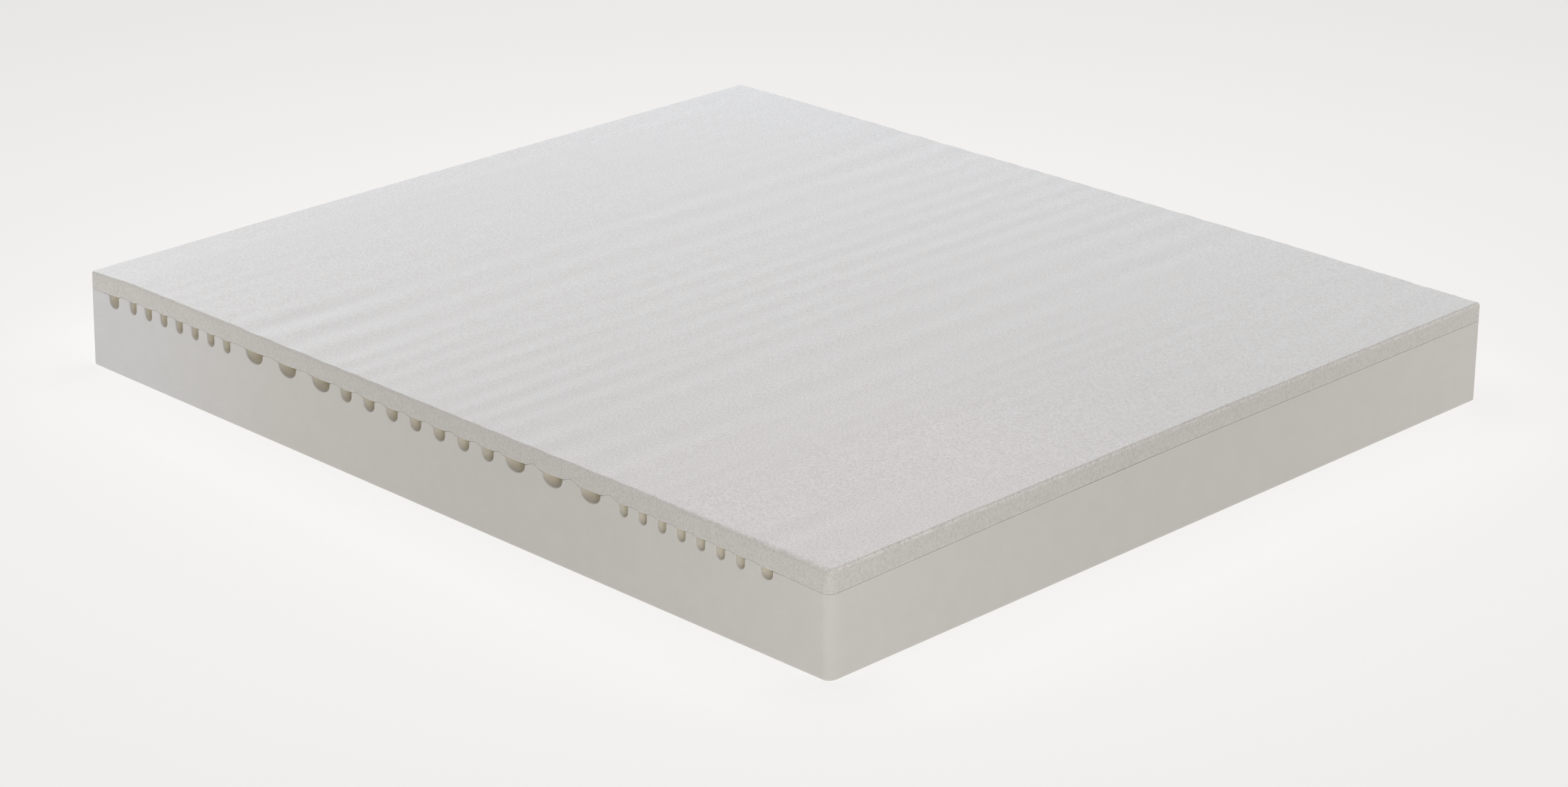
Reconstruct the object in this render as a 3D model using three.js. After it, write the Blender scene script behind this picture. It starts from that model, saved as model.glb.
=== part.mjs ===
// A mattress core of two layers of foam. The lower one is a thick block with 29 grooves cut
// across its top. The upper one is a thinner sheet that lies on the block and spans the grooves.
//
// Millimetres, +Z up. X runs along the grooved long side and Y along the grooves. The origin is
// on the ground, under the middle of the mattress.

import * as THREE from "three";

// Plan and layers
const LENGTH = 1900;
const WIDTH = 1650;
const SLAB_THICKNESS = 39;
const LAYER_GAP = 0.3;

// Rounding of the edges and of the upright corners
const FOOT_RADIUS = 5;
const SLAB_EDGE_RADIUS = 7;
const CUT_CORNER_RADIUS = 5;
const SOFT_CORNER_RADIUS = 18;
const CORNER_STEPS = 2;

// Top of the block, along its length: at the front face, half way across and at the back face.
// The foam settles towards the corner where the front meets the right end.
const BLOCK_HEIGHTS = [
  { x: -950, front: 151, middle: 150.5, back: 150 },
  { x: -880, front: 154.5, middle: 152.5, back: 151 },
  { x: -810, front: 157.3, middle: 153.5, back: 151.5 },
  { x: -360, front: 157.7, middle: 154.5, back: 152 },
  { x: 100, front: 156.6, middle: 154.5, back: 152 },
  { x: 540, front: 156.2, middle: 153.5, back: 151.5 },
  { x: 700, front: 152.3, middle: 152, back: 151 },
  { x: 815, front: 148.5, middle: 151.5, back: 151 },
  { x: 950, front: 144.5, middle: 151, back: 150 },
];

// Grooves, zone by zone from the left end. x is the first groove's middle. width is taken
// between the upright walls and depth from the lips to the floor. bowl is how high the round
// floor reaches, shoulder the rounding at each lip, crown the rise of the fin to the right of
// each groove, and dip how far the sheet's top sinks over the groove.
const GROOVE_ZONES = [
  { x: -880, pitch: 0, count: 1, width: 30, depth: 25, bowl: 13, shoulder: 4, crown: 1.5, dip: 0.8 },
  { x: -821, pitch: 46.5, count: 7, width: 21, depth: 24, bowl: 10, shoulder: 2, crown: 1, dip: 0.4 },
  { x: -462, pitch: 93.2, count: 3, width: 48, depth: 22.3, bowl: 17, shoulder: 3.5, crown: 2, dip: 1.6 },
  { x: -207, pitch: 61.6, count: 7, width: 30, depth: 22.3, bowl: 14, shoulder: 2.5, crown: 3, dip: 0.8 },
  { x: 231, pitch: 91, count: 3, width: 48, depth: 21, bowl: 16, shoulder: 3.5, crown: 6, dip: 1.6 },
  { x: 491.5, pitch: 44.1, count: 7, width: 20, depth: 21, bowl: 9, shoulder: 2, crown: 1, dip: 0.4 },
  { x: 814, pitch: 0, count: 1, width: 27, depth: 18.5, bowl: 10, shoulder: 2.5, crown: 0, dip: 0.6 },
];
const BOWL_STEPS = 6;
const SLAB_SAG = 1;

// Cross-sections from the front face to the back face. wave is the share of each dip that shows.
const STATIONS = [
  { y: -825, wave: 1 },
  { y: -821, wave: 1 },
  { y: -809, wave: 1 },
  { y: -480, wave: 0.35 },
  { y: 0, wave: 0.3 },
  { y: 480, wave: 0.35 },
  { y: 809, wave: 0.8 },
  { y: 821, wave: 0.8 },
  { y: 825, wave: 0.8 },
];

// The plain foam past the outer grooves is cut into steps of about this length
const MARGIN_STEP = 30;

const foamBlockMaterial = new THREE.MeshStandardMaterial({ color: 0xd9d5cb, roughness: 0.95, metalness: 0 });
const foamSheetMaterial = new THREE.MeshStandardMaterial({ color: 0xe4e3e1, roughness: 0.92, metalness: 0 });

// Every groove as a row of its own, from left to right
const GROOVES = GROOVE_ZONES.flatMap((zone) =>
  Array.from({ length: zone.count }, (_, index) => ({ ...zone, x: zone.x + index * zone.pitch })),
);

function lipReach(groove) {
  return groove.width / 2 + groove.shoulder;
}

// Height of the block's top before its grooves are cut
function blockHeight(x, y) {
  const last = BLOCK_HEIGHTS.length - 1;
  const right = Math.min(Math.max(BLOCK_HEIGHTS.findIndex((row) => row.x >= x), 1), last);
  const from = BLOCK_HEIGHTS[right - 1];
  const to = BLOCK_HEIGHTS[right];
  const along = (x - from.x) / (to.x - from.x);
  const across = Math.abs(y) / (WIDTH / 2);
  const side = y < 0 ? "front" : "back";
  const middle = THREE.MathUtils.lerp(from.middle, to.middle, along);
  const edge = THREE.MathUtils.lerp(from[side], to[side], along);
  return THREE.MathUtils.lerp(middle, edge, across);
}

// How far a quarter-round edge stands back, at a distance from the face that it rounds
function roundInset(radius, distance) {
  const rest = Math.max(radius - distance, 0);
  return radius - Math.sqrt(radius * radius - rest * rest);
}

// Points of a quarter-round corner in a cross-section
function cornerPoints(centreX, centreZ, radius, startAngle) {
  return Array.from({ length: CORNER_STEPS + 1 }, (_, step) => {
    const angle = startAngle + (Math.PI / 2) * (step / CORNER_STEPS);
    return [centreX + radius * Math.cos(angle), centreZ + radius * Math.sin(angle)];
  });
}

// Left and right ends of a cross-section, inside the rounded upright corners
function sectionEnds(station) {
  const distance = WIDTH / 2 - Math.abs(station.y);
  const rightRadius = station.y < 0 ? SOFT_CORNER_RADIUS : CUT_CORNER_RADIUS;
  return {
    distance,
    left: -LENGTH / 2 + roundInset(CUT_CORNER_RADIUS, distance),
    right: LENGTH / 2 - roundInset(rightRadius, distance),
  };
}

// Evenly spaced X values strictly between two places
function marginSteps(from, to) {
  const count = Math.round((to - from) / MARGIN_STEP);
  return Array.from({ length: count - 1 }, (_, step) => from + ((to - from) * (step + 1)) / count);
}

const LEFT_MARGIN = marginSteps(-LENGTH / 2, GROOVES[0].x - lipReach(GROOVES[0]));
const RIGHT_MARGIN = marginSteps(GROOVES.at(-1).x + lipReach(GROOVES.at(-1)), LENGTH / 2);

// Middle and top of the fin between each groove and the next
function finCrests(y) {
  return GROOVES.slice(0, -1).map((groove, index) => {
    const next = GROOVES[index + 1];
    const x = (groove.x + lipReach(groove) + next.x - lipReach(next)) / 2;
    return { x, z: blockHeight(x, y) + groove.crown };
  });
}

// One groove, from its right lip down round its floor and up to its left lip
function groovePoints(groove, y) {
  const half = groove.width / 2;
  const lip = blockHeight(groove.x, y);
  const floor = lip - groove.depth;
  const points = [
    [groove.x + lipReach(groove), blockHeight(groove.x + lipReach(groove), y)],
    [groove.x + half, lip - groove.shoulder],
  ];
  for (let step = 0; step <= BOWL_STEPS; step += 1) {
    const turn = (Math.PI * step) / BOWL_STEPS;
    points.push([groove.x + half * Math.cos(turn), floor + groove.bowl * (1 - Math.sin(turn))]);
  }
  points.push([groove.x - half, lip - groove.shoulder]);
  points.push([groove.x - lipReach(groove), blockHeight(groove.x - lipReach(groove), y)]);
  return points;
}

// Outline of the block at one station, counter-clockwise seen from the front
function blockSection(station) {
  const { distance, left, right } = sectionEnds(station);
  const foot = roundInset(FOOT_RADIUS, distance);
  const crests = finCrests(station.y);
  const onTop = (x) => [x, blockHeight(x, station.y)];
  const points = [
    ...cornerPoints(left + FOOT_RADIUS, foot + FOOT_RADIUS, FOOT_RADIUS, Math.PI),
    ...cornerPoints(right - FOOT_RADIUS, foot + FOOT_RADIUS, FOOT_RADIUS, 1.5 * Math.PI),
    onTop(right),
    ...RIGHT_MARGIN.toReversed().map(onTop),
  ];
  for (let index = GROOVES.length - 1; index >= 0; index -= 1) {
    points.push(...groovePoints(GROOVES[index], station.y));
    if (index > 0) points.push([crests[index - 1].x, crests[index - 1].z]);
  }
  points.push(...LEFT_MARGIN.toReversed().map(onTop), onTop(left));
  return points;
}

// Outline of the sheet at one station, counter-clockwise seen from the front. Its underside
// follows the fins and spans the grooves, and its top sinks a little over each groove.
function slabSection(station) {
  const { y, wave } = station;
  const { distance, left, right } = sectionEnds(station);
  const drop = roundInset(SLAB_EDGE_RADIUS, distance);
  const crests = finCrests(y);
  const underside = (x, lift) => [x, blockHeight(x, y) + LAYER_GAP + lift];
  const top = (x, lift) => [x, blockHeight(x, y) + SLAB_THICKNESS - drop + lift];
  const points = [underside(left, 0), ...LEFT_MARGIN.map((x) => underside(x, 0))];
  GROOVES.forEach((groove, index) => {
    points.push(underside(groove.x - lipReach(groove), 0));
    points.push(underside(groove.x, -SLAB_SAG));
    points.push(underside(groove.x + lipReach(groove), 0));
    if (index < crests.length) points.push([crests[index].x, crests[index].z + LAYER_GAP]);
  });
  points.push(...RIGHT_MARGIN.map((x) => underside(x, 0)), underside(right, 0));
  const innerRight = right - SLAB_EDGE_RADIUS;
  const innerLeft = left + SLAB_EDGE_RADIUS;
  points.push(...cornerPoints(innerRight, top(innerRight, 0)[1] - SLAB_EDGE_RADIUS, SLAB_EDGE_RADIUS, 0));
  points.push(...RIGHT_MARGIN.toReversed().map((x) => top(x, 0)));
  for (let index = GROOVES.length - 1; index >= 0; index -= 1) {
    points.push(top(GROOVES[index].x, -GROOVES[index].dip * wave));
    if (index > 0) points.push(top(crests[index - 1].x, 0));
  }
  points.push(...LEFT_MARGIN.toReversed().map((x) => top(x, 0)));
  points.push(...cornerPoints(innerLeft, top(innerLeft, 0)[1] - SLAB_EDGE_RADIUS, SLAB_EDGE_RADIUS, Math.PI / 2));
  return points;
}

// Closed solid through cross-sections that have the same number of points. Every strip is split
// from its left front corner to its right back one, so facing surfaces keep an even gap.
function loft(sectionAt) {
  const sections = STATIONS.map(sectionAt);
  const count = sections[0].length;
  const positions = sections.flatMap((section, row) => section.flatMap(([x, z]) => [x, STATIONS[row].y, z]));
  const faces = [];
  for (let row = 0; row < sections.length - 1; row += 1) {
    for (let index = 0; index < count; index += 1) {
      const next = (index + 1) % count;
      const goesRight = sections[row][next][0] >= sections[row][index][0];
      const [near, nearNext] = [row * count + index, row * count + next];
      const [far, farNext] = [near + count, nearNext + count];
      if (goesRight) faces.push(near, far, farNext, near, farNext, nearNext);
      else faces.push(near, far, nearNext, far, farNext, nearNext);
    }
  }
  const backStart = (sections.length - 1) * count;
  const flat = (section) => section.map(([x, z]) => new THREE.Vector2(x, z));
  for (const [a, b, c] of THREE.ShapeUtils.triangulateShape(flat(sections[0]), [])) {
    faces.push(a, b, c);
  }
  for (const [a, b, c] of THREE.ShapeUtils.triangulateShape(flat(sections[sections.length - 1]), [])) {
    faces.push(backStart + a, backStart + c, backStart + b);
  }
  const geometry = new THREE.BufferGeometry();
  geometry.setAttribute("position", new THREE.Float32BufferAttribute(positions, 3));
  geometry.setIndex(faces);
  geometry.computeVertexNormals();
  return geometry;
}

function namedMesh(name, geometry, material) {
  const mesh = new THREE.Mesh(geometry, material);
  mesh.name = name;
  return mesh;
}

const group = new THREE.Group();
group.add(namedMesh("base_block", loft(blockSection), foamBlockMaterial));
group.add(namedMesh("top_slab", loft(slabSection), foamSheetMaterial));

export default group;
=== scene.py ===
"""Looks of a foam mattress core: a grooved block under a thinner sheet, on a plain pale floor.

Metres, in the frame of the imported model: X runs along the grooved long side, Y along the
grooves and Z up, with the origin on the ground under the middle of the mattress.
"""

import logging
import math
from bisect import bisect_right
from dataclasses import dataclass
from enum import Enum

import bmesh
import bpy
from mathutils import Matrix, Vector, noise


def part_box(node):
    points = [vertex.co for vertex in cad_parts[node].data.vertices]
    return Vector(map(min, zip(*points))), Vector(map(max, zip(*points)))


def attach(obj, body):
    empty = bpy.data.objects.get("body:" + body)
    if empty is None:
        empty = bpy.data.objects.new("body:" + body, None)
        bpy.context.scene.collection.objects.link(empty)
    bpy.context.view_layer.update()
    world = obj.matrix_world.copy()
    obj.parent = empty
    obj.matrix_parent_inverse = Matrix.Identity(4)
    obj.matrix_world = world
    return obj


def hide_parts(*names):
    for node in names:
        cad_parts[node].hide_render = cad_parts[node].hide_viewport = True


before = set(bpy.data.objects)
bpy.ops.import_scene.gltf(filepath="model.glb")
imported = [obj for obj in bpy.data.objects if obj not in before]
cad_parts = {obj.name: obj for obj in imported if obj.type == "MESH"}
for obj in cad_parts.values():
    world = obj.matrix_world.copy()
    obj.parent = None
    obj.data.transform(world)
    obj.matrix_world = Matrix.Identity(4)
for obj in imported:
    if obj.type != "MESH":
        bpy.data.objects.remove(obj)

LOG = logging.getLogger("mattress")
MM = 0.001


# Shared curves


def mix(first: float, second: float, share: float) -> float:
    """Value a share of the way from the first to the second."""
    return first + (second - first) * share


def ease(value: float) -> float:
    """Smooth step from 0 to 1, held at both ends."""
    held = min(max(value, 0.0), 1.0)
    return held * held * (3.0 - 2.0 * held)


def ramp(value: float, start: float, end: float) -> float:
    """Smooth step from 0 at the start to 1 at the end, which may be the smaller of the two."""
    return ease((value - start) / (end - start))


def round_inset(radius: float, distance: float) -> float:
    """How far a quarter-round edge stands back.

    Args:
        radius: Radius of the edge.
        distance: Distance from the face that the edge rounds.

    Returns:
        The distance from the other face, which is 0 past the radius.
    """
    rest = max(radius - distance, 0.0)
    return radius - math.sqrt(max(radius * radius - rest * rest, 0.0))


@dataclass(frozen=True)
class Dents:
    """Soft random dents: how strong and how large they are, and which of many such surfaces."""

    strength: float
    cell: float
    seed: float

    def at(self, x: float, y: float = 0.0, variant: int = 0) -> float:
        """Reads the surface.

        Args:
            x: First place.
            y: Second place.
            variant: Picks another surface of the same kind.

        Returns:
            The height there, up to the strength either way.
        """
        return self.strength * noise.noise(Vector((x / self.cell, y / self.cell, self.seed + variant)))


@dataclass(frozen=True)
class SmoothTable:
    """A smooth curve through a few measured places."""

    places: tuple[float, ...]
    values: tuple[float, ...]

    def _slope(self, index: int) -> float:
        """Slope of the curve at one of its places, flat at both ends.

        Args:
            index: Which place, counted from the first.

        Returns:
            The slope there.
        """
        if index in (0, len(self.places) - 1):
            return 0.0
        run = self.places[index + 1] - self.places[index - 1]
        return (self.values[index + 1] - self.values[index - 1]) / run

    def at(self, place: float) -> float:
        """Reads the curve.

        Args:
            place: Where to read it.

        Returns:
            The value there, held past both ends.
        """
        if place <= self.places[0]:
            return self.values[0]
        if place >= self.places[-1]:
            return self.values[-1]
        right = bisect_right(self.places, place)
        left = right - 1
        span = self.places[right] - self.places[left]
        t = (place - self.places[left]) / span
        start, end = self.values[left], self.values[right]
        start_rise, end_rise = self._slope(left) * span, self._slope(right) * span
        return (
            (2 * t**3 - 3 * t**2 + 1) * start
            + (t**3 - 2 * t**2 + t) * start_rise
            + (3 * t**2 - 2 * t**3) * end
            + (t**3 - t**2) * end_rise
        )


# Measures of the core


@dataclass(frozen=True)
class Groove:
    """One groove across the block: its middle, its section and what it does to the foam round it."""

    x: float
    pitch: float
    width: float
    depth: float
    bowl: float
    shoulder: float
    crown: float
    dip: float
    carry: float

    @property
    def reach(self) -> float:
        """Distance from the middle to either lip."""
        return self.width / 2 + self.shoulder

    @property
    def left_lip(self) -> float:
        """Place of the left lip."""
        return self.x - self.reach

    @property
    def right_lip(self) -> float:
        """Place of the right lip."""
        return self.x + self.reach


@dataclass(frozen=True)
class GrooveZone:
    """A run of alike grooves, in millimetres."""

    first: float
    pitch: float
    count: int
    width: float
    depth: float
    bowl: float
    shoulder: float
    crown: float
    dip: float
    carry: float

    def grooves(self) -> list[Groove]:
        """Makes the grooves of the zone, from left to right, in metres.

        Returns:
            The grooves in order.
        """
        section = (self.pitch, self.width, self.depth, self.bowl, self.shoulder, self.crown, self.dip)
        sizes = [value * MM for value in section]
        places = [(self.first + index * self.pitch) * MM for index in range(self.count)]
        return [Groove(place, *sizes, self.carry) for place in places]


ZONES = (
    GrooveZone(-880, 70, 1, 30, 25, 13, 4, 1.5, 0.75, 0.55),
    GrooveZone(-821, 46.5, 7, 21, 24, 10, 2, 1, 0.36, 0.7),
    GrooveZone(-462, 93.2, 3, 48, 22.3, 17, 3.5, 2, 1.95, 0.55),
    GrooveZone(-207, 61.6, 7, 30, 22.3, 14, 2.5, 3, 0.85, 0.8),
    GrooveZone(231, 91, 3, 48, 21, 16, 3.5, 6, 1.3, 0.72),
    GrooveZone(491.5, 44.1, 7, 20, 21, 9, 2, 1, 0.33, 0.9),
    GrooveZone(814, 80, 1, 27, 18.5, 10, 2.5, 0, 1.3, 0.5),
)


# Heights of the joint between the layers along the length, in millimetres
JOINT_PLACES = (-950, -880, -810, -360, 100, 540, 700, 815, 950)
JOINT_FRONT = (151, 154.5, 157.3, 157.7, 156.6, 156.2, 152.3, 148.5, 144.5)
JOINT_MIDDLE = (153.5, 155.5, 156.5, 157.5, 157.5, 156.5, 155, 154.5, 154)
JOINT_BACK = (153, 154, 154.5, 155, 155, 154.5, 154, 154, 153)


@dataclass(frozen=True)
class Core:
    """What both layers share: the plan, the grooves and the height of the joint between them."""

    half_length: float
    half_width: float
    grooves: tuple[Groove, ...]
    front: SmoothTable
    middle: SmoothTable
    back: SmoothTable
    gap: float = 0.3 * MM
    cut_corner: float = 5 * MM
    soft_corner: float = 18 * MM
    fin_columns: int = 7
    edge_pull: float = 1.3

    @classmethod
    def from_frame(cls) -> "Core":
        """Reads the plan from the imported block, and adds the heights measured along its length.

        Returns:
            What both layers share.
        """
        low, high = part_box("base_block")
        places = tuple(x * MM for x in JOINT_PLACES)
        lines = (JOINT_FRONT, JOINT_MIDDLE, JOINT_BACK)
        tables = [SmoothTable(places, tuple(z * MM for z in line)) for line in lines]
        grooves = tuple(groove for zone in ZONES for groove in zone.grooves())
        return cls((high[0] - low[0]) / 2, (high[1] - low[1]) / 2, grooves, *tables)

    def joint(self, x: float, y: float) -> float:
        """Height of the block's uncut top.

        Args:
            x: Place along the length.
            y: Place across the width.

        Returns:
            The height above the floor.
        """
        across = (abs(y) / self.half_width) ** self.edge_pull
        edge = self.front if y < 0 else self.back
        return mix(self.middle.at(x), edge.at(x), across)

    def ends(self, y: float, soft_corner: float) -> tuple[float, float]:
        """Left and right ends, inside the rounded upright corners.

        Args:
            y: Place across the width.
            soft_corner: Radius of the corner at the right end of the front.

        Returns:
            The places of both ends along the length.
        """
        distance = self.half_width - abs(y)
        right = soft_corner if y < 0 else self.cut_corner
        return (
            -self.half_length + round_inset(self.cut_corner, distance),
            self.half_length - round_inset(right, distance),
        )

    def fins(self) -> list[tuple[Groove, float, float]]:
        """The foam left standing between grooves: the groove on its left, and its two edges."""
        pairs = zip(self.grooves, self.grooves[1:])
        return [(left, left.right_lip, right.left_lip) for left, right in pairs]

    def fin_places(self, start: float, end: float) -> list[float]:
        """Columns across a fin, which both layers share so that they keep an even gap."""
        steps = self.fin_columns + 1
        return [mix(start, end, step / steps) for step in range(1, steps)]

    @staticmethod
    def crown(groove: Groove, start: float, end: float, x: float) -> float:
        """Rise of the fin to the right of a groove, at a place between its two edges."""
        return groove.crown * math.sin(math.pi * (x - start) / (end - start)) ** 2


# Finishes


class Shading:
    """A short way to write a node tree."""

    def __init__(self, name: str) -> None:
        """Starts a material that has only its shader.

        Args:
            name: Name of the material.
        """
        self.material = bpy.data.materials.new(name)
        self.material.use_nodes = True
        self.tree = self.material.node_tree
        self.shader = self.tree.nodes["Principled BSDF"]
        self.object_place = self.add("ShaderNodeTexCoord").outputs["Object"]

    def add(self, kind: str, **settings: object) -> bpy.types.Node:
        """Adds a node and sets its properties.

        Args:
            kind: Type of the node.
            settings: The node's properties by name.

        Returns:
            The new node.
        """
        node = self.tree.nodes.new(kind)
        for name, value in settings.items():
            setattr(node, name, value)
        return node

    def link(self, source: bpy.types.NodeSocket, target: bpy.types.NodeSocket) -> None:
        """Joins two sockets."""
        self.tree.links.new(source, target)

    def noise(self, scale: float, detail: float, roughness: float = 0.5) -> bpy.types.NodeSocket:
        """Noise in the foam.

        Args:
            scale: Cells per metre.
            detail: Number of finer layers.
            roughness: Strength of the finer layers.

        Returns:
            The socket with the noise, from 0 to 1.
        """
        node = self.add("ShaderNodeTexNoise")
        node.inputs["Scale"].default_value = scale
        node.inputs["Detail"].default_value = detail
        node.inputs["Roughness"].default_value = roughness
        self.link(self.object_place, node.inputs["Vector"])
        return node.outputs["Fac"]

    def length_place(self) -> bpy.types.NodeSocket:
        """Place along the mattress, from its left end to its right one.

        Returns:
            The socket with the place, in metres.
        """
        node = self.add("ShaderNodeSeparateXYZ")
        self.link(self.object_place, node.inputs[0])
        return node.outputs["X"]

    def pits(self, scale: float, size: float) -> bpy.types.NodeSocket:
        """Small round holes.

        Args:
            scale: Cells per metre, each with one hole.
            size: Radius of a hole, as a share of its cell.

        Returns:
            The socket that is 1 in the middle of a hole and 0 outside it.
        """
        node = self.add("ShaderNodeTexVoronoi")
        node.inputs["Scale"].default_value = scale
        self.link(self.object_place, node.inputs["Vector"])
        return self.spread(node.outputs["Distance"], size, 0.0, 0.0, 1.0)

    def spread(
        self, source: bpy.types.NodeSocket, start: float, end: float, low: float, high: float
    ) -> bpy.types.NodeSocket:
        """Maps a range of values onto another one, held at both ends.

        Args:
            source: Socket with the value.
            start: Value that becomes the low one.
            end: Value that becomes the high one.
            low: What the start becomes.
            high: What the end becomes.

        Returns:
            The socket with the mapped value.
        """
        node = self.add("ShaderNodeMapRange")
        for name, value in (("From Min", start), ("From Max", end), ("To Min", low), ("To Max", high)):
            node.inputs[name].default_value = value
        self.link(source, node.inputs["Value"])
        return node.outputs["Result"]

    def math(
        self, operation: str, first: bpy.types.NodeSocket, second: bpy.types.NodeSocket | float
    ) -> bpy.types.NodeSocket:
        """Joins two values, or a value and a number, by one operation.

        Args:
            operation: Blender's name for it.
            first: Socket with the first value.
            second: Socket with the second value, or a number.

        Returns:
            The socket with the result.
        """
        node = self.add("ShaderNodeMath", operation=operation)
        self.link(first, node.inputs[0])
        if isinstance(second, float):
            node.inputs[1].default_value = second
        else:
            self.link(second, node.inputs[1])
        return node.outputs[0]

    def tint(
        self,
        colour: bpy.types.NodeSocket | tuple[float, float, float],
        other: tuple[float, float, float],
        share: bpy.types.NodeSocket,
    ) -> bpy.types.NodeSocket:
        """Blends a colour towards another one.

        Args:
            colour: The colour to start from, or the socket with it.
            other: The colour to blend towards.
            share: Socket with how much of the other colour shows, from 0 to 1.

        Returns:
            The socket with the blended colour.
        """
        node = self.add("ShaderNodeMix", data_type="RGBA")
        if isinstance(colour, tuple):
            node.inputs[6].default_value = (*colour, 1.0)
        else:
            self.link(colour, node.inputs[6])
        node.inputs[7].default_value = (*other, 1.0)
        self.link(share, node.inputs[0])
        return node.outputs[2]

    def attribute(self, name: str) -> bpy.types.NodeSocket:
        """Reads a value that the mesh carries."""
        return self.add("ShaderNodeAttribute", attribute_name=name).outputs["Fac"]

    def bump(
        self, height: bpy.types.NodeSocket, depth: float, under: bpy.types.NodeSocket | None = None
    ) -> bpy.types.NodeSocket:
        """Turns a height into a bump.

        Args:
            height: Socket with the height, from 0 to 1.
            depth: What 1 stands for, in metres.
            under: The normal of a coarser bump, if there is one.

        Returns:
            The socket with the bent normal.
        """
        node = self.add("ShaderNodeBump")
        node.inputs["Distance"].default_value = depth
        node.inputs["Strength"].default_value = 1.0
        self.link(height, node.inputs["Height"])
        if under is not None:
            self.link(under, node.inputs["Normal"])
        return node.outputs["Normal"]


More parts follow.
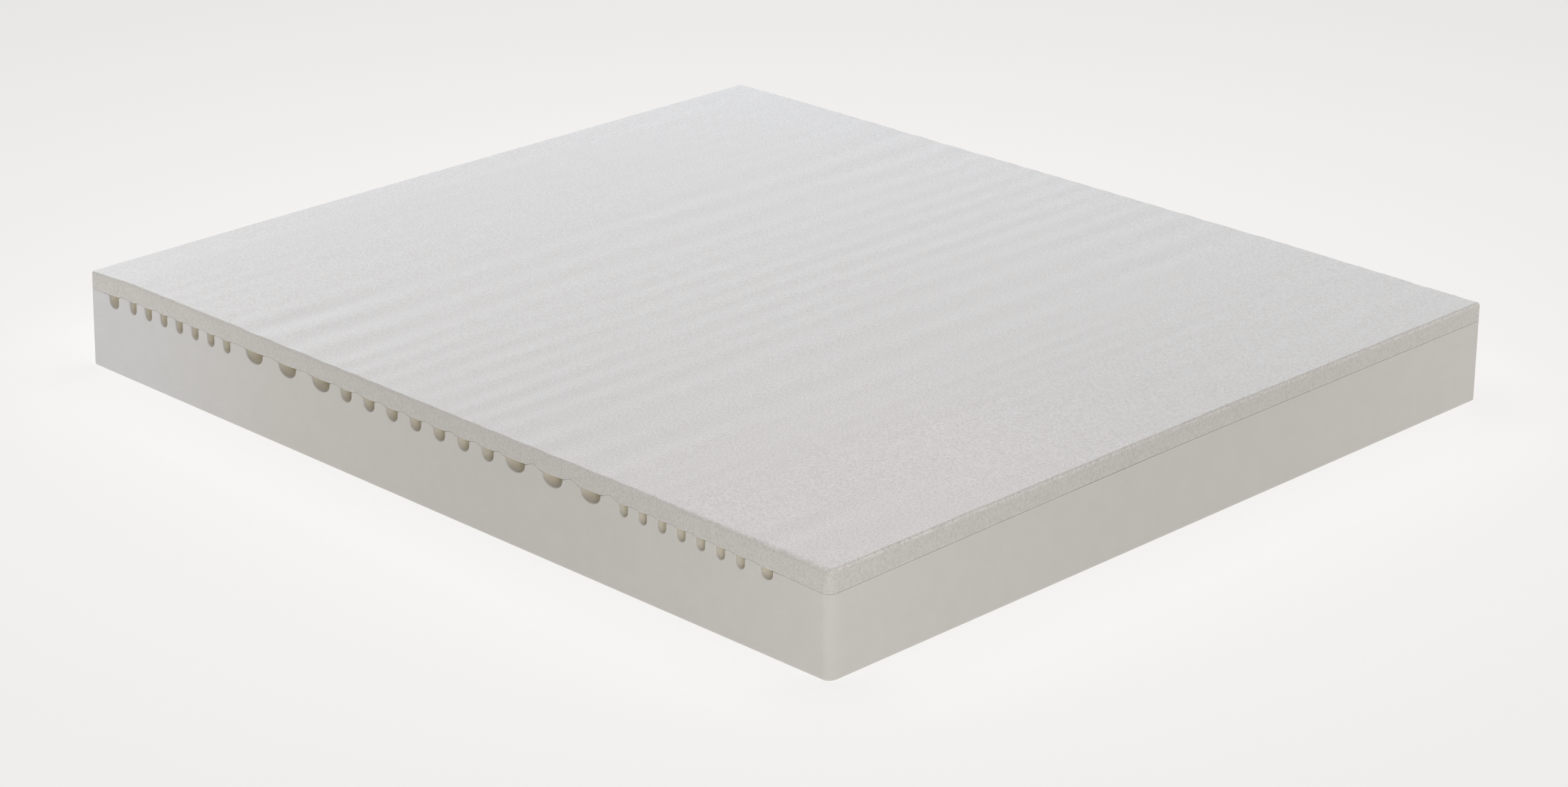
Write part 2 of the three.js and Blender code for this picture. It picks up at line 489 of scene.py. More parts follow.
@dataclass(frozen=True)
class FoamFinish:
    """Matte foam with a fine grain, soft mottling and small open cells.

    The colours without a default are for foam all over; the left colour is painted light, lighter and
    cooler towards the left end. Those that may be None are for marked parts of a piece: the skin on top,
    its tinted quarter, painted light on its end edge, and painted light and glow inside the grooves.
    A range is where a value fades in, and a run is such a range along the length.
    """

    name: str
    colour: tuple[float, float, float]
    deep_colour: tuple[float, float, float]
    painted_left_light: tuple[float, float, float]
    grain_scale: float
    grain_depth: float
    grain_share: float
    cell_scale: float
    cell_size: float
    cell_depth: float
    mottle_share: float
    left_light_run: tuple[float, float]
    grain_range: tuple[float, float] = (0.6, 0.3)
    mottle_scale: float = 26.0
    mottle_range: tuple[float, float] = (0.35, 0.7)
    # The mouth, deep and glow ranges place the painted light inside the grooves.
    mouth_light_range: tuple[float, float] = (0.03, 0.14)
    deep_light_range: tuple[float, float] = (0.14, 0.8)
    painted_glow_range: tuple[float, float] = (0.04, 0.4)
    skin_hole_share: float = 0.25
    hole_shade: float = 0.5
    skin_colour: tuple[float, float, float] | None = None
    blush_colour: tuple[float, float, float] | None = None
    # Painted light: a lighter colour on the rounded edge at the right end.
    painted_end_light: tuple[float, float, float] | None = None
    # Painted light inside the grooves: colours lighter than the foam, and the colour, strength and left-end
    # boost of an emitted glow.
    painted_mouth_light: tuple[float, float, float] | None = None
    painted_deep_light: tuple[float, float, float] | None = None
    painted_glow_colour: tuple[float, float, float] = (1.0, 1.0, 1.0)
    painted_glow_strength: float = 0.0
    painted_glow_left: float = 1.0
    roughness: float = 0.93
    specular: float = 0.18
    sheen: float = 0.12
    sheen_roughness: float = 0.6
    glow: float = 0.25
    glow_radius: float = 6 * MM
    glow_reach: tuple[float, float, float] = (1.0, 0.85, 0.65)

    def build(self) -> bpy.types.Material:
        """Makes the material.

        Returns:
            The material.
        """
        s = Shading(self.name)
        grain = s.noise(self.grain_scale, 2.0, 0.55)
        cells = s.pits(self.cell_scale, self.cell_size)
        mottle = s.noise(self.mottle_scale, 3.0, 0.55)
        # Painted light: the foam turns lighter and cooler towards the left end, standing in for light from
        # the left.
        colour = s.tint(self.colour, self.painted_left_light, s.spread(s.length_place(), *self.left_light_run, 0.0, 1.0))
        holes = cells
        if self.skin_colour is not None:
            skin = s.attribute("skin")
            colour = s.tint(colour, self.skin_colour, skin)
            holes = s.math("MULTIPLY", cells, s.spread(skin, 0.0, 1.0, 1.0, self.skin_hole_share))
            # Painted shade: a darker band under the sheet's top edge, on the left part of the front and
            # back faces.
            colour = s.tint(colour, self.deep_colour, s.attribute("rim_shade_mask"))
        if self.blush_colour is not None:
            colour = s.tint(colour, self.blush_colour, s.attribute("blush"))
        # Painted light: the rounded edge at the right end is made lighter.
        if self.painted_end_light is not None:
            colour = s.tint(colour, self.painted_end_light, s.attribute("end_light_mask"))
        # Painted light inside the grooves: lighter colour near the mouth and lighter still deeper in, plus
        # an emitted glow, stronger towards the left end.
        if self.painted_mouth_light is not None and self.painted_deep_light is not None:
            groove_light_mask = s.attribute("groove_light_mask")
            colour = s.tint(colour, self.painted_mouth_light, s.spread(groove_light_mask, *self.mouth_light_range, 0.0, 1.0))
            colour = s.tint(colour, self.painted_deep_light, s.spread(groove_light_mask, *self.deep_light_range, 0.0, 1.0))
            s.shader.inputs["Emission Color"].default_value = (*self.painted_glow_colour, 1.0)
            painted_glow_socket = s.spread(groove_light_mask, *self.painted_glow_range, 0.0, self.painted_glow_strength)
            along = s.spread(s.length_place(), *self.left_light_run, 1.0, self.painted_glow_left)
            painted_glow_socket = s.math("MULTIPLY", painted_glow_socket, along)
            s.link(painted_glow_socket, s.shader.inputs["Emission Strength"])
        mottle = s.spread(mottle, *self.mottle_range, 0.0, self.mottle_share)
        shaded_grain = s.spread(grain, *self.grain_range, 0.0, self.grain_share)
        for shade in (mottle, shaded_grain, s.math("MULTIPLY", holes, self.hole_shade)):
            colour = s.tint(colour, self.deep_colour, shade)
        s.link(colour, s.shader.inputs["Base Color"])
        normal = s.bump(grain, self.grain_depth)
        normal = s.bump(s.spread(holes, 0.0, 1.0, 1.0, 0.0), self.cell_depth, normal)
        s.link(normal, s.shader.inputs["Normal"])
        s.shader.inputs["Roughness"].default_value = self.roughness
        s.shader.inputs["Specular IOR Level"].default_value = self.specular
        s.shader.inputs["Sheen Weight"].default_value = self.sheen
        s.shader.inputs["Sheen Roughness"].default_value = self.sheen_roughness
        s.shader.inputs["Subsurface Weight"].default_value = self.glow
        s.shader.inputs["Subsurface Radius"].default_value = self.glow_reach
        s.shader.inputs["Subsurface Scale"].default_value = self.glow_radius
        return s.material


@dataclass(frozen=True)
class PlainFinish:
    """An even matte surface, for the floor."""

    name: str
    colour: tuple[float, float, float]
    roughness: float = 0.9
    own_light: float = 0.0

    def build(self) -> bpy.types.Material:
        """Makes the material.

        Returns:
            The material.
        """
        s = Shading(self.name)
        s.shader.inputs["Base Color"].default_value = (*self.colour, 1.0)
        s.shader.inputs["Roughness"].default_value = self.roughness
        s.shader.inputs["Specular IOR Level"].default_value = 0.0
        s.shader.inputs["Emission Color"].default_value = (1.0, 1.0, 1.0, 1.0)
        s.shader.inputs["Emission Strength"].default_value = self.own_light
        return s.material


BLOCK_FOAM = FoamFinish(
    name="cut_block_foam",
    colour=(0.610, 0.588, 0.551),
    deep_colour=(0.50, 0.48, 0.445),
    # The left colour paints light from the left: the block's faces turn lighter and cooler towards the left
    # end.
    painted_left_light=(0.625, 0.622, 0.616),
    left_light_run=(-0.35, -0.85),
    # Painted light inside the grooves: lighter colours near the mouth and deeper in, and a faint emitted
    # glow.
    painted_mouth_light=(0.74, 0.69, 0.59),
    painted_deep_light=(0.90, 0.80, 0.61),
    painted_glow_colour=(0.87, 0.83, 0.67),
    painted_glow_strength=0.06,
    painted_glow_left=1.6,
    grain_scale=420.0,
    grain_depth=0.08 * MM,
    grain_share=0.12,
    cell_scale=160.0,
    cell_size=0.10,
    cell_depth=0.15 * MM,
    mottle_share=0.12,
)
SHEET_FOAM = FoamFinish(
    name="fine_sheet_foam",
    colour=(0.610, 0.588, 0.551),
    deep_colour=(0.50, 0.48, 0.45),
    # The left colour paints light from the left, barely different from the sheet's own colour.
    painted_left_light=(0.610, 0.590, 0.556),
    left_light_run=(-0.35, -0.85),
    skin_colour=(0.604, 0.600, 0.596),
    blush_colour=(0.645, 0.626, 0.620),
    # The end edge colour is painted light on the sheet's rounded right end.
    painted_end_light=(0.75, 0.73, 0.70),
    grain_scale=250.0,
    grain_depth=0.3 * MM,
    grain_share=0.8,
    cell_scale=330.0,
    cell_size=0.16,
    cell_depth=0.25 * MM,
    mottle_share=0.12,
)
PALE_FLOOR = PlainFinish(name="pale_floor", colour=(0.50, 0.50, 0.50), own_light=0.71)


# Foam layers


class Measured(Enum):
    """How the height of a level is measured."""

    UP_FROM_FOOT = "up"
    SHARE_OF_HEIGHT = "share"
    DOWN_FROM_TOP = "down"


@dataclass(frozen=True)
class Level:
    """One level line round a layer's side."""

    kind: Measured
    value: float

    def height(self, foot: float, top: float) -> float:
        """Height of the level between a foot and a top.

        Args:
            foot: Height of the foot.
            top: Height of the top.

        Returns:
            The height of the level.
        """
        if self.kind is Measured.UP_FROM_FOOT:
            return foot + self.value
        if self.kind is Measured.DOWN_FROM_TOP:
            return top - self.value
        return mix(foot, top, self.value)

    def pull(self) -> float:
        """How far the level follows a rounded mouth: not by the foot, and fully by the top.

        Returns:
            The share, from 0 to 1.
        """
        if self.kind is Measured.UP_FROM_FOOT:
            return 0.0
        return ease(self.value) if self.kind is Measured.SHARE_OF_HEIGHT else 1.0

    def inset(self, foot_radius: float, top_radius: float) -> float:
        """How far an end stands in at the level, where its lower and upper edges are rounded.

        Args:
            foot_radius: Radius of the lower edge.
            top_radius: Radius of the upper edge.

        Returns:
            The distance from the plain end.
        """
        if self.kind is Measured.UP_FROM_FOOT:
            return round_inset(foot_radius, self.value)
        if self.kind is Measured.DOWN_FROM_TOP:
            return round_inset(top_radius, self.value)
        return 0.0


def levels(up: tuple[float, ...], shares: tuple[float, ...], down: tuple[float, ...]) -> tuple[Level, ...]:
    """Level lines from bottom to top.

    Args:
        up: Heights above the foot, in millimetres.
        shares: Shares of the whole height.
        down: Distances below the top, in millimetres, from the largest.

    Returns:
        The levels in order.
    """
    return (
        *(Level(Measured.UP_FROM_FOOT, value * MM) for value in up),
        *(Level(Measured.SHARE_OF_HEIGHT, value) for value in shares),
        *(Level(Measured.DOWN_FROM_TOP, value * MM) for value in down),
    )


@dataclass(frozen=True)
class Column:
    """One upright line of a layer's section, with the way that its mouth edge faces."""

    x: float
    anchor: float
    lift: float
    facing: tuple[float, float] = (0.0, 1.0)
    edge: float = 0.0


@dataclass
class FoamLayer:
    """A closed foam solid, drawn out along the grooves from a grid of columns and levels."""

    core: Core
    name: str
    node: str
    slot: str
    finish: FoamFinish
    level_lines: tuple[Level, ...]
    rows_from_face: tuple[float, ...]
    sharp_angle: float = math.radians(50)

    def columns(self) -> list[Column]:
        """Columns of the section, from left to right."""
        raise NotImplementedError

    def place(self, columns: list[Column], column: int, level: int, y: float) -> Vector:
        """Where a vertex goes, by its column, its level and its place across the width."""
        raise NotImplementedError

    def rows(self) -> list[float]:
        """Places across the width, close together at both faces.

        Returns:
            The places, from the front face to the back one.
        """
        half = self.core.half_width
        near = [-half + distance * MM for distance in self.rows_from_face]
        return [*near, 0.0, *(-y for y in reversed(near))]

    def draw_out(self) -> bmesh.types.BMesh:
        """Makes the grid, draws it out and moves each vertex to its place.

        Returns:
            The closed mesh.
        """
        columns, rows = self.columns(), self.rows()
        across, up, along = len(columns) - 1, len(self.level_lines) - 1, len(rows) - 1
        foam = bmesh.new()
        bmesh.ops.create_grid(foam, x_segments=across, y_segments=up, size=0.5)
        drawn = bmesh.ops.extrude_face_region(foam, geom=foam.faces[:])
        far = [part for part in drawn["geom"] if isinstance(part, bmesh.types.BMVert)]
        bmesh.ops.translate(foam, verts=far, vec=(0.0, 0.0, 1.0))
        drawn_edges = [edge for edge in foam.edges if abs(edge.verts[0].co.z - edge.verts[1].co.z) > 0.5]
        bmesh.ops.subdivide_edges(foam, edges=drawn_edges, cuts=along - 1, use_grid_fill=True)
        for vert in foam.verts:
            column = round((vert.co.x + 0.5) * across)
            level = round((vert.co.y + 0.5) * up)
            vert.co = self.place(columns, column, level, rows[round(vert.co.z * along)])
        foam.normal_update()
        bmesh.ops.recalc_face_normals(foam, faces=foam.faces[:])
        return foam

    def dress(self, foam: bmesh.types.BMesh) -> None:
        """Writes what the finish reads from the mesh. Plain foam needs nothing."""

    def build(self) -> bpy.types.Object:
        """Builds the piece, dresses it and puts it in the place of its CAD node.

        Returns:
            The finished object.
        """
        foam = self.draw_out()
        self.dress(foam)
        for face in foam.faces:
            face.smooth = True
        for edge in foam.edges:
            edge.smooth = edge.calc_face_angle(0.0) < self.sharp_angle
        mesh = bpy.data.meshes.new(self.name)
        foam.to_mesh(mesh)
        foam.free()
        piece = bpy.data.objects.new(self.name, mesh)
        bpy.context.collection.objects.link(piece)
        piece.data.materials.append(self.finish.build())
        normals = piece.modifiers.new("even_normals", "WEIGHTED_NORMAL")
        normals.keep_sharp = True
        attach(piece, "root")
        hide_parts(self.node)
        low, high = (Vector(corner) for corner in (piece.bound_box[0], piece.bound_box[6]))
        size = " x ".join(f"{side * 1000:.1f}" for side in high - low)
        LOG.info("%s: %d faces, %s mm", self.name, len(mesh.polygons), size)
        return piece


@dataclass
class GroovedBlock(FoamLayer):
    """The thick lower block with grooves across its top."""

    foot_radius: float = 4 * MM
    left_lean: float = 7 * MM
    left_inset: float = 1.2 * MM
    mouth_radius: float = 2.2 * MM
    # Distance behind the face over which the painted light inside a groove comes in.
    groove_light_run: float = 50 * MM
    fin_edge: float = 0.35 * MM
    top_edge: float = 0.4 * MM
    draft: float = 0.35 * MM
    shoulder_steps: int = 4
    bowl_steps: int = 14
    left_keep: float = 8 * MM
    right_keep: float = 24 * MM
    groove_slack: float = 2 * MM

    def _groove_columns(self, groove: Groove) -> list[Column]:
        """Columns of one groove, from its left lip down round its floor and up to its right lip.

        Args:
            groove: The groove.

        Returns:
            Its columns, which do not face anywhere yet.
        """
        half = groove.width / 2
        profile: list[tuple[float, float]] = []
        for step in range(self.shoulder_steps + 1):
            turn = math.pi / 2 * step / self.shoulder_steps
            profile.append(
                (-groove.reach + groove.shoulder * math.sin(turn), groove.shoulder * (math.cos(turn) - 1))
            )
        bowl_half = half - self.draft
        for step in range(self.bowl_steps // 2 + 1):
            turn = math.pi * step / self.bowl_steps
            lift = -groove.depth + groove.bowl * (1 - math.sin(turn))
            profile.append((-bowl_half * math.cos(turn), lift))
        profile += [(-x, z) for x, z in reversed(profile[:-1])]
        return [
            Column(groove.x + x, groove.x + x if abs(x) > half else groove.x, z, edge=self.mouth_radius)
            for x, z in profile
        ]

    def columns(self) -> list[Column]:
        """Columns of the section, from left to right.

        Returns:
            The columns in order.
        """
        core, end = self.core, self.core.half_length
        left_margin = (-end + self.left_keep, core.grooves[0].left_lip)
        right_margin = (core.grooves[-1].right_lip, end - self.right_keep)
        line = [self._flat(-end), *(self._flat(mix(*left_margin, share)) for share in (0.0, 0.5))]
        for index, groove in enumerate(core.grooves):
            line += self._groove_columns(groove)
            if index < len(core.grooves) - 1:
                first, last = groove.right_lip, core.grooves[index + 1].left_lip
                line += [
                    Column(x, x, core.crown(groove, first, last, x), edge=self.fin_edge)
                    for x in core.fin_places(first, last)
                ]
        line += [self._flat(mix(*right_margin, share)) for share in (0.25, 0.5, 0.75, 1.0)]
        line.append(self._flat(end))
        return self._face(line)

    def _flat(self, x: float) -> Column:
        """A column of the plain margins, where no groove is cut."""
        return Column(x, x, 0.0, edge=self.top_edge)

    @staticmethod
    def _face(line: list[Column]) -> list[Column]:
        """Finds the way that each column's mouth edge faces, from its neighbours.

        Args:
            line: The columns in order.

        Returns:
            The same columns, each with the way that it faces.
        """
        faced = []
        for index, column in enumerate(line):
            left, right = line[max(index - 1, 0)], line[min(index + 1, len(line) - 1)]
            run, rise = right.x - left.x, right.lift - left.lift
            length = math.hypot(run, rise)
            faced.append(
                Column(column.x, column.anchor, column.lift, (-rise / length, run / length), column.edge)
            )
        return faced

    def place(self, columns: list[Column], column: int, level: int, y: float) -> Vector:
        """Where a vertex goes, by its column, its level and its place across the width.

        Args:
            columns: The columns of the section.
            column: Which column.
            level: Which level line.
            y: Place across the width.

        Returns:
            The place of the vertex.
        """
        core, spec, line = self.core, columns[column], self.level_lines[level]
        distance = core.half_width - abs(y)
        left, right = core.ends(y, core.soft_corner)
        foot = round_inset(self.foot_radius, distance)
        back = round_inset(spec.edge, distance)
        top = core.joint(spec.anchor, y) + spec.lift - back * spec.facing[1]
        height = line.height(foot, top)
        x = spec.x - back * spec.facing[0] * line.pull()
        inset = line.inset(self.foot_radius, self.top_edge)
        if column == 0:
            x = left + inset - mix(self.left_lean, -self.left_inset, height / top)
        elif column == len(columns) - 1:
            x = right - inset
        return Vector((x, y, height))

    def dress(self, foam: bmesh.types.BMesh) -> None:
        """Marks how deep the foam lies inside the grooves, which sets the painted light and glow there.

        Args:
            foam: The mesh, which gets a value at every vertex.
        """
        groove_light_mask = foam.verts.layers.float.new("groove_light_mask")
        half = self.core.half_width
        for vert in foam.verts:
            x, y, z = vert.co
            groove = min(self.core.grooves, key=lambda each: abs(each.x - x))
            below = self.core.joint(x, y) - z
            in_depth = -self.groove_slack < below < groove.depth + self.groove_slack
            inside = abs(x - groove.x) < groove.reach and in_depth
            vert[groove_light_mask] = min((half - abs(y)) / self.groove_light_run, 1.0) if inside else 0.0


@dataclass(frozen=True)
class Band:
    """A band of depths under the top: how soon it starts, and where it begins and ends to fade."""

    start: float
    fade: float
    end: float

    def share(self, depth: float) -> float:
        """Strength of the band at a depth, from 0 to 1."""
        return ramp(depth, 0.0, self.start) * (1 - ramp(depth, self.fade, self.end))


@dataclass
class CoverSheet(FoamLayer):
    """The thinner sheet on top, which spans the grooves and sinks a little over each."""

    thickness: float = 36 * MM
    corner_rise: float = 6 * MM
    corner_run: tuple[float, float] = (0.6, 0.95)
    sag: float = 1 * MM
    lower_edge: float = 0.4 * MM
    sharp_edge: float = 1.6 * MM
    soft_edge: float = 9 * MM
    soft_run: tuple[float, float] = (0.4, 0.9)
    end_edge: float = 4.5 * MM
    top_corner: float = 7 * MM
    left_inset: tuple[float, float] = (1.4 * MM, 4 * MM)
    left_keep: float = 12 * MM
    right_keep: float = 34 * MM
    spacing: float = 4.6 * MM
    near_face: SmoothTable = SmoothTable((0.0, 0.03, 0.1, 0.3, 1.3, 1.6), (0.6, 1.0, 0.9, 0.0, 0.0, 0.3))
    edge_nicks: tuple[Dents, Dents] = (Dents(0.25, 35 * MM, 3.0), Dents(0.3, 11 * MM, 5.0))
    end_nicks: Dents = Dents(0.3, 60 * MM, 9.0)
    wave_bend: Dents = Dents(5 * MM, 400 * MM, 20.0)
    wave_change: Dents = Dents(0.6, 260 * MM, 50.0)
    soft_dents: tuple[Dents, Dents] = (Dents(0.35 * MM, 130 * MM, 1.0), Dents(0.12 * MM, 30 * MM, 2.0))
    streaks: Dents = Dents(0.4 * MM, 38 * MM, 4.0)
    streak_stretch: float = 7.0
    skin_depth: float = 5 * MM
    blush_along: tuple[float, float] = (0.05, 0.85)
    blush_across: tuple[float, float] = (-0.4, 0.1)
    # Painted light: a lighter band on the rounded edge at the right end, by depth under the top and
    # nearness to the end.
    end_light_band: Band = Band(0.5 * MM, 2.5 * MM, 7.5 * MM)
    end_light_width: float = 6 * MM
    # Painted shade: a darker band under the top edge, on the left part of the front and back faces.
    rim_shade_band: Band = Band(2 * MM, 3 * MM, 11 * MM)
    rim_shade_run: tuple[float, float] = (-0.2, 0.4)
    rim_shade_width: float = 2 * MM
    rim_shade_strength: float = 0.35

    def columns(self) -> list[Column]:
        """Columns of the section, from left to right.

        Returns:
            The columns in order.
        """
        core, end = self.core, self.core.half_length
        places = [-end, *self._fill(-end + self.left_keep, core.grooves[0].left_lip)]
        for index, groove in enumerate(core.grooves):
            places += self._fill(groove.left_lip, groove.right_lip)
            if index < len(core.grooves) - 1:
                places.append(groove.right_lip)
                places += core.fin_places(groove.right_lip, core.grooves[index + 1].left_lip)
        places += self._fill(core.grooves[-1].right_lip, end - self.right_keep)
        places += [end - self.right_keep, end]
        return [Column(x, x, self._underside(x)) for x in places]

    def _fill(self, start: float, end: float) -> list[float]:
        """Evenly spaced places from a start up to but not including an end."""
        count = max(round((end - start) / self.spacing), 1)
        return [mix(start, end, step / count) for step in range(count)]

    def _underside(self, x: float) -> float:
        """Height of the underside against the joint: a sag over each groove, an arch over each fin.

        Args:
            x: Place along the length.

        Returns:
            The height above the joint, which is less than 0 in a sag.
        """
        for groove in self.core.grooves:
            share = (x - groove.x) / groove.reach
            if abs(share) < 1:
                return -self.sag * (1 - share * share)
        for groove, start, end in self.core.fins():
            if start < x < end:
                return self.core.crown(groove, start, end, x)
        return 0.0

    def _front_edge(self, x: float) -> float:
        """Radius of the top edge along the front and the back, softer towards the right end."""
        ragged = sum(nicks.at(x) for nicks in self.edge_nicks)
        return mix(self.sharp_edge, self.soft_edge, ramp(x, *self.soft_run)) * (1 + ragged)

    def _end_edge(self, y: float) -> float:
        """Radius of the top edge along an end."""
        return self.end_edge * (1 + self.end_nicks.at(y))

    def flat_top(self, x: float, y: float) -> float:
        """Height of the sheet's top before its edges are rounded.

        Args:
            x: Place along the length.
            y: Place across the width.

        Returns:
            The height above the floor.
        """
        near = self.near_face.at(y + self.core.half_width)
        dip = 0.0
        for index, groove in enumerate(self.core.grooves):
            if abs(x - groove.x) > groove.pitch:
                continue
            share = (x - groove.x - self.wave_bend.at(y, variant=index)) / groove.pitch
            if abs(share) < 0.5:
                carried = mix(groove.carry, 1.0, near) * (1 + self.wave_change.at(y, variant=index))
                dip += groove.dip * carried * (0.5 + 0.5 * math.cos(2 * math.pi * share))
        dents = sum(dents.at(x, y) for dents in self.soft_dents)
        dents += self.streaks.at(x, y / self.streak_stretch)
        nearness = max(-y / self.core.half_width, 0.0) ** self.core.edge_pull
        rise = self.corner_rise * ramp(x, *self.corner_run) * nearness
        return self.core.joint(x, y) + self.thickness + rise - dip + dents

    def place(self, columns: list[Column], column: int, level: int, y: float) -> Vector:
        """Where a vertex goes, by its column, its level and its place across the width.

        Args:
            columns: The columns of the section.
            column: Which column.
            level: Which level line.
            y: Place across the width.

        Returns:
            The place of the vertex.
        """
        core, spec, line = self.core, columns[column], self.level_lines[level]
        distance = core.half_width - abs(y)
        foot = core.joint(spec.x, y) + spec.lift + core.gap + round_inset(self.lower_edge, distance)
        top = self.flat_top(spec.x, y) - round_inset(self._front_edge(spec.x), distance)
        rise = (line.height(foot, top) - foot) / (top - foot)
        left, right = core.ends(y, mix(core.soft_corner, self.top_corner, rise))
        left += mix(*self.left_inset, rise)
        inset = line.inset(self.lower_edge, self._end_edge(y))
        x = spec.x
        if column == 0:
            x = left + inset
        elif column == len(columns) - 1:
            x = right - inset
        return Vector((x, y, line.height(foot, top)))

    def dress(self, foam: bmesh.types.BMesh) -> None:
        """Marks the skin on top and its tinted quarter, the painted light on the end edge and the painted
        shade under the front rim.

        Args:
            foam: The mesh, which gets a value for each at every vertex.
        """
        skin = foam.verts.layers.float.new("skin")
        rim_shade_mask = foam.verts.layers.float.new("rim_shade_mask")
        blush = foam.verts.layers.float.new("blush")
        end_light_mask = foam.verts.layers.float.new("end_light_mask")
        half = self.core.half_width
        for vert in foam.verts:
            x, y, z = vert.co
            depth = self.flat_top(x, y) - z
            behind_face = half - abs(y)
            beside_end = self.core.half_length - x
            vert[skin] = 1 - ramp(depth, 0.0, self.skin_depth)
            quarter = ramp(x, *self.blush_along) * (1 - ramp(y, *self.blush_across))
            vert[blush] = vert[skin] * quarter
            # Painted light on the rounded right end edge.
            vert[end_light_mask] = self.end_light_band.share(depth) * (1 - ramp(beside_end, 0.0, self.end_light_width))
            # Painted shade under the top edge, fading out towards the right.
            left_rim_shade = self.rim_shade_strength * (1 - ramp(x, *self.rim_shade_run))
            vert[rim_shade_mask] = left_rim_shade * ramp(behind_face, self.rim_shade_width, 0.0) * self.rim_shade_band.share(depth)


# Studio


class Lit(Enum):
    """What a lamp shines on."""

    EVERYTHING = "everything"
    FOAM = "foam"


@dataclass(frozen=True)
class SoftBox:
    """A soft lamp: where it stands, where it points, how large and how strong it is, and what it lights."""

    name: str
    place: tuple[float, float, float]
    target: tuple[float, float, float]
    size: float
    power: float
    colour: tuple[float, float, float] = (1.0, 1.0, 1.0)
    lights: Lit = Lit.FOAM

    def build(self, foam: bpy.types.Collection) -> bpy.types.Object:
        """Sets up the lamp, which the camera doesn't see.

        Args:
            foam: What a lamp for the foam alone shines on, so that the floor stays even.

        Returns:
            The lamp.
        """
        lamp = bpy.data.lights.new(self.name, "AREA")
        lamp.shape = "SQUARE"
        lamp.size = self.size
        lamp.energy = self.power
        lamp.color = self.colour
        stand = bpy.data.objects.new(self.name, lamp)
        bpy.context.collection.objects.link(stand)
        stand.location = self.place
        aim = Vector(self.target) - Vector(self.place)
        stand.rotation_euler = aim.to_track_quat("-Z", "Y").to_euler()
        stand.visible_camera = False
        if self.lights is Lit.FOAM:
            stand.light_linking.receiver_collection = foam
        return stand


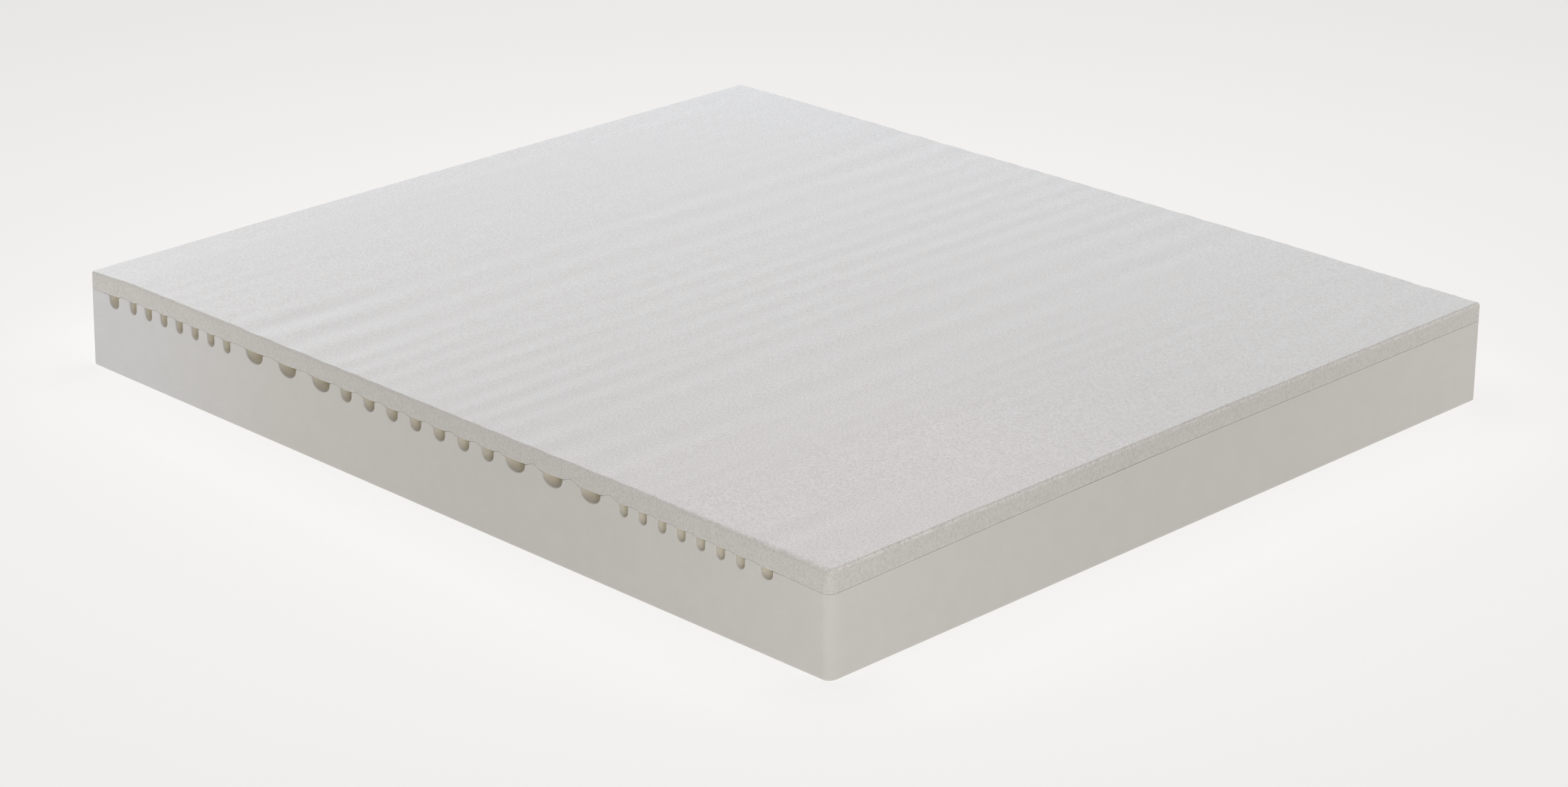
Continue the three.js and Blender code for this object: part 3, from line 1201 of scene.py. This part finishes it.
@dataclass
class Studio:
    """Floor, surroundings, lamps and camera."""

    floor_side: float = 60.0
    floor_drop: float = 0.2 * MM
    room_light: float = 0.02
    backdrop_light: float = 1.0
    camera_place: tuple[float, float, float] = (4.56588, -4.49623, 2.49626)
    azimuth: float = 45.3201
    elevation: float = 21.4483
    roll: float = -0.1234
    lens: float = 86.669
    lamps: tuple[SoftBox, ...] = (
        SoftBox(
            "overhead", (0.0, 0.0, 3.4), (0.0, 0.0, 0.0), 4.0, 63.5, (1.0, 0.925, 0.858), Lit.EVERYTHING
        ),
        SoftBox("left_far", (-8.0, 1.2, 4.3), (0.0, 0.0, 0.0), 3.2, 835.0, (0.904, 0.936, 1.0)),
        SoftBox("back_key", (-1.2, 3.6, 2.4), (0.0, 0.0, 0.2), 2.6, 63.5, (0.787, 0.89, 1.0)),
        SoftBox("front_fill", (3.9, -3.9, 1.7), (0.0, 0.0, 0.1), 1.6, 22.0),
        SoftBox("left_low", (-1.15, -2.0, 0.6), (-0.9, -0.8, 0.1), 0.9, 7.1),
        SoftBox("corner_fill", (2.3, -2.2, 0.8), (0.9, -0.8, 0.1), 0.9, 19.0),
        SoftBox("right_low", (2.6, 2.0, 0.9), (0.95, 0.8, 0.1), 1.0, 19.6),
    )

    def build_floor(self) -> bpy.types.Object:
        """Lays the floor just under the mattress.

        Returns:
            The floor.
        """
        ground = bmesh.new()
        bmesh.ops.create_grid(ground, x_segments=4, y_segments=4, size=self.floor_side / 2)
        bmesh.ops.translate(ground, verts=ground.verts[:], vec=(0.0, 0.0, -self.floor_drop))
        mesh = bpy.data.meshes.new("floor")
        ground.to_mesh(mesh)
        ground.free()
        floor = bpy.data.objects.new("floor", mesh)
        bpy.context.collection.objects.link(floor)
        floor.data.materials.append(PALE_FLOOR.build())
        return floor

    def light_surroundings(self) -> None:
        """Gives the room a little even light, and a white backdrop above the floor's far edge."""
        world = bpy.data.worlds.new("room")
        world.use_nodes = True
        tree = world.node_tree
        strength = tree.nodes.new("ShaderNodeMapRange")
        strength.inputs["To Min"].default_value = self.room_light
        strength.inputs["To Max"].default_value = self.backdrop_light
        seen = tree.nodes.new("ShaderNodeLightPath").outputs["Is Camera Ray"]
        tree.links.new(seen, strength.inputs["Value"])
        tree.nodes["Background"].inputs["Color"].default_value = (1.0, 1.0, 1.0, 1.0)
        tree.links.new(strength.outputs["Result"], tree.nodes["Background"].inputs["Strength"])
        bpy.context.scene.world = world

    def aim_camera(self) -> bpy.types.Object:
        """Puts the camera where the photograph was taken from.

        Returns:
            The camera.
        """
        lens = bpy.data.cameras.new("camera")
        lens.lens = self.lens
        lens.sensor_width = 36.0
        lens.sensor_fit = "HORIZONTAL"
        lens.clip_end = 200.0
        camera = bpy.data.objects.new("camera", lens)
        bpy.context.collection.objects.link(camera)
        a, e, r = (math.radians(angle) for angle in (self.azimuth, self.elevation, self.roll))
        back = Vector((math.sin(a) * math.cos(e), -math.cos(a) * math.cos(e), math.sin(e)))
        level_side = Vector((0.0, 0.0, 1.0)).cross(back).normalized()
        level_up = back.cross(level_side)
        side = math.cos(r) * level_side + math.sin(r) * level_up
        up = math.cos(r) * level_up - math.sin(r) * level_side
        turn = Matrix((side, up, back)).transposed().to_4x4()
        camera.matrix_world = Matrix.Translation(self.camera_place) @ turn
        bpy.context.scene.camera = camera
        return camera

    def build(self, pieces: list[bpy.types.Object]) -> None:
        """Sets up the whole studio.

        Args:
            pieces: The foam pieces that it shows.
        """
        foam = bpy.data.collections.new("foam")
        for piece in pieces:
            foam.objects.link(piece)
        view = bpy.context.scene.view_settings
        view.view_transform = "Standard"
        view.look = "None"
        self.build_floor()
        self.light_surroundings()
        for lamp in self.lamps:
            lamp.build(foam)
        self.aim_camera()


# Assembly


def main() -> None:
    """Builds the studio and both foam layers, and reports each piece."""
    logging.basicConfig(level=logging.INFO, format="%(name)s: %(message)s")
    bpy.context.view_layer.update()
    core = Core.from_frame()
    block = GroovedBlock(
        core,
        name="grooved_foam_block",
        node="base_block",
        slot="block_foam",
        finish=BLOCK_FOAM,
        level_lines=levels((0, 0.5, 1.6, 3.2, 5, 6.5), (0.3, 0.55, 0.78), (2.0, 0.9, 0.4, 0.1, 0)),
        rows_from_face=(0, 0.12, 0.4, 0.9, 1.6, 3, 5, 8, 12, 18, 26, 60, 150, 300, 500),
    )
    sheet = CoverSheet(
        core,
        name="foam_cover_sheet",
        node="top_slab",
        slot="sheet_foam",
        finish=SHEET_FOAM,
        level_lines=levels((0, 0.25, 0.7), (0.2, 0.4, 0.6), (10, 6.5, 4.6, 3.0, 1.7, 0.8, 0.2, 0)),
        rows_from_face=(
            *(0, 0.2, 0.7, 1.5, 2.6, 4.2, 6.5, 9, 13, 18, 26, 38, 54, 74, 98, 126, 160),
            *(200, 250, 310, 380, 460, 550, 650, 740),
        ),
    )
    Studio().build([layer.build() for layer in (block, sheet)])


if __name__ == "__main__":
    main()
